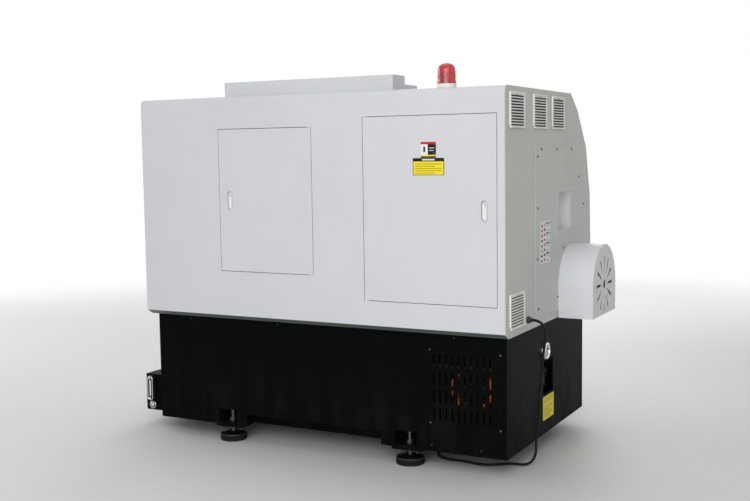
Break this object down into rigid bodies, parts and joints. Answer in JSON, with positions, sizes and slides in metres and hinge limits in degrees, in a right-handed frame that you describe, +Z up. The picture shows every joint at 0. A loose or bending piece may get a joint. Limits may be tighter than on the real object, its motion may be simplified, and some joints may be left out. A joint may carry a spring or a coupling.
{
  "type": "cnc turning lathe",
  "caption": "Compact slant-bed CNC turning lathe with a white enclosure, black base, sliding front door, turret, tailstock, rear cabinets and pull-out coolant tank",
  "frame": {"origin": "on the floor under the middle of the machine's bounding box, without its supply cable", "axes": "+X along the row from the headstock end to the tailstock end, +Y towards the electrical side at the back, away from the operator, +Z up"},
  "size_m": [2.29, 1.327, 1.8103],
  "materials": {
    "white_paint": "satin enamel, light grey-white",
    "black_paint": "semi-gloss black enamel",
    "grey_casting": "grey painted casting",
    "ground_steel": "ground steel",
    "dark_steel": "blackened steel",
    "chrome": "polished chrome plate",
    "cream_plastic": "matt cream plastic",
    "black_plastic": "matt black plastic",
    "grey_plastic": "matt grey plastic",
    "black_rubber": "matt black rubber",
    "orange_paint": "satin orange paint",
    "red_plastic": "clear red gloss plastic",
    "clear_pane": "clear glazing"
  },
  "bodies": {
    "machine": {"back_panel": "white_paint", "roof_panel": "white_paint", "front_panel": "white_paint", "head_end_panel": "white_paint", "tail_end_panel": "white_paint", "end_cover": "white_paint", "spindle_guard": "white_paint", "roof_cover": "white_paint", "electrical_cabinet": "white_paint", "base_frame": "black_paint", "base_deck": "black_paint", "base_floor": "black_paint", "grille_panel": "black_paint", "slant_bed": "grey_casting", "headstock": "grey_casting", "spindle_motor": "dark_steel", "levelling_foot_1": "dark_steel", "levelling_foot_2": "dark_steel", "levelling_foot_3": "dark_steel", "levelling_foot_4": "dark_steel", "sight_glass": "chrome", "vent_louvre_1": "cream_plastic", "vent_louvre_2": "cream_plastic", "vent_louvre_3": "cream_plastic", "vent_louvre_4": "cream_plastic", "lamp_base": "cream_plastic", "feed_motor": "black_plastic", "cable_gland": "black_plastic", "cable_plug": "black_plastic", "drive_rack": "grey_plastic", "operator_panel": "grey_plastic", "drive_belt": "black_rubber", "power_cable": "black_rubber", "fan_ring": "orange_paint", "lamp_dome": "red_plastic"},
    "lamp_rotor": {"lamp_reflector": "chrome"},
    "electrical_door": {"electrical_door": "white_paint"},
    "electrical_latch": {"electrical_latch": "cream_plastic"},
    "service_door": {"service_door": "white_paint"},
    "service_latch": {"service_latch": "cream_plastic"},
    "spindle": {"spindle": "ground_steel", "chuck": "ground_steel"},
    "jaw_1": {"chuck_jaw_1": "dark_steel"},
    "jaw_2": {"chuck_jaw_2": "dark_steel"},
    "jaw_3": {"chuck_jaw_3": "dark_steel"},
    "motor_shaft": {"motor_pulley": "ground_steel"},
    "carriage": {"carriage": "grey_casting"},
    "cross_slide": {"cross_slide": "grey_casting"},
    "turret": {"turret_disc": "ground_steel"},
    "feed_screw": {"feed_screw": "ground_steel"},
    "tailstock": {"tailstock": "grey_casting"},
    "quill": {"tailstock_quill": "ground_steel"},
    "front_door": {"sliding_door": "white_paint", "door_pane": "clear_pane"},
    "fan": {"fan_rotor": "black_plastic"},
    "tank": {"coolant_tank": "black_paint", "level_gauge": "black_plastic"},
    "stop_button": {"emergency_stop": "red_plastic"},
    "knob": {"mode_knob": "black_plastic"},
    "handwheel": {"feed_handwheel": "black_plastic"}
  },
  "joints": [
    {"name": "lamp_turn", "type": "hinge", "parent": "machine", "child": "lamp_rotor", "pos_m": [-0.669, 0.5695, 1.7], "axis": [0, 0, 1], "continuous": true},
    {"name": "electrical_door_hinge", "type": "hinge", "parent": "machine", "child": "electrical_door", "pos_m": [-0.3066, 0.6535, 1.174], "axis": [0, 0, -1], "range_deg": [0, 95]},
    {"name": "electrical_latch_hinge", "type": "hinge", "parent": "electrical_door", "child": "electrical_latch", "pos_m": [-0.876, 0.6478, 1.1345], "axis": [-1, 0, 0], "range_deg": [0, 35], "stiffness_Nm_per_rad": 0.3, "springref_deg": -8.59},
    {"name": "service_door_hinge", "type": "hinge", "parent": "machine", "child": "service_door", "pos_m": [-0.0184, 0.6535, 1.2065], "axis": [0, 0, 1], "range_deg": [0, 95]},
    {"name": "service_latch_hinge", "type": "hinge", "parent": "service_door", "child": "service_latch", "pos_m": [0.432, 0.6478, 1.167], "axis": [-1, 0, 0], "range_deg": [0, 35], "stiffness_Nm_per_rad": 0.3, "springref_deg": -8.59},
    {"name": "spindle_turn", "type": "hinge", "parent": "machine", "child": "spindle", "pos_m": [-0.972, -0.2295, 0.773], "axis": [1, 0, 0], "continuous": true},
    {"name": "jaw_1_slide", "type": "slide", "parent": "spindle", "child": "jaw_1", "axis": [0, 0, 1], "range_m": [-0.008, 0.005]},
    {"name": "jaw_2_slide", "type": "slide", "parent": "spindle", "child": "jaw_2", "axis": [0, 0.866, -0.5], "range_m": [-0.008, 0.005]},
    {"name": "jaw_3_slide", "type": "slide", "parent": "spindle", "child": "jaw_3", "axis": [0, -0.866, -0.5], "range_m": [-0.008, 0.005]},
    {"name": "motor_turn", "type": "hinge", "parent": "machine", "child": "motor_shaft", "pos_m": [-0.972, -0.0405, 0.335], "axis": [1, 0, 0], "continuous": true},
    {"name": "carriage_slide", "type": "slide", "parent": "machine", "child": "carriage", "axis": [1, 0, 0], "range_m": [-0.17, 0.08]},
    {"name": "feed_screw_turn", "type": "hinge", "parent": "machine", "child": "feed_screw", "pos_m": [-0.972, -0.05096, 0.65102], "axis": [1, 0, 0], "continuous": true},
    {"name": "cross_slide_slide", "type": "slide", "parent": "carriage", "child": "cross_slide", "axis": [0, -0.7071, -0.7071], "range_m": [0, 0.15]},
    {"name": "turret_turn", "type": "hinge", "parent": "cross_slide", "child": "turret", "pos_m": [-0.016, 0.00385, 1.00635], "axis": [1, 0, 0], "continuous": true},
    {"name": "tailstock_slide", "type": "slide", "parent": "machine", "child": "tailstock", "axis": [-1, 0, 0], "range_m": [0, 0.25]},
    {"name": "quill_slide", "type": "slide", "parent": "tailstock", "child": "quill", "axis": [-1, 0, 0], "range_m": [0, 0.08]},
    {"name": "front_door_slide", "type": "slide", "parent": "machine", "child": "front_door", "axis": [-1, 0, 0], "range_m": [0, 0.56]},
    {"name": "fan_turn", "type": "hinge", "parent": "machine", "child": "fan", "pos_m": [-0.779, 0.5515, 0.382], "axis": [0, 1, 0], "continuous": true},
    {"name": "tank_slide", "type": "slide", "parent": "machine", "child": "tank", "axis": [1, 0, 0], "range_m": [0, 0.8]},
    {"name": "stop_press", "type": "slide", "parent": "machine", "child": "stop_button", "axis": [0, 0.9859, -0.1674], "range_m": [0, 0.005]},
    {"name": "knob_turn", "type": "hinge", "parent": "machine", "child": "knob", "pos_m": [0.708, -0.61525, 1.02996], "axis": [0, -0.9859, 0.1674], "range_deg": [-60, 60]},
    {"name": "handwheel_turn", "type": "hinge", "parent": "machine", "child": "handwheel", "pos_m": [0.808, -0.61525, 1.02996], "axis": [0, -0.9859, 0.1674], "continuous": true}
  ],
  "couplings": [
    {"joint": "motor_turn", "follows": "spindle_turn", "ratio": 1.6923},
    {"joint": "jaw_2_slide", "follows": "jaw_1_slide", "ratio": 1},
    {"joint": "jaw_3_slide", "follows": "jaw_1_slide", "ratio": 1}
  ]
}
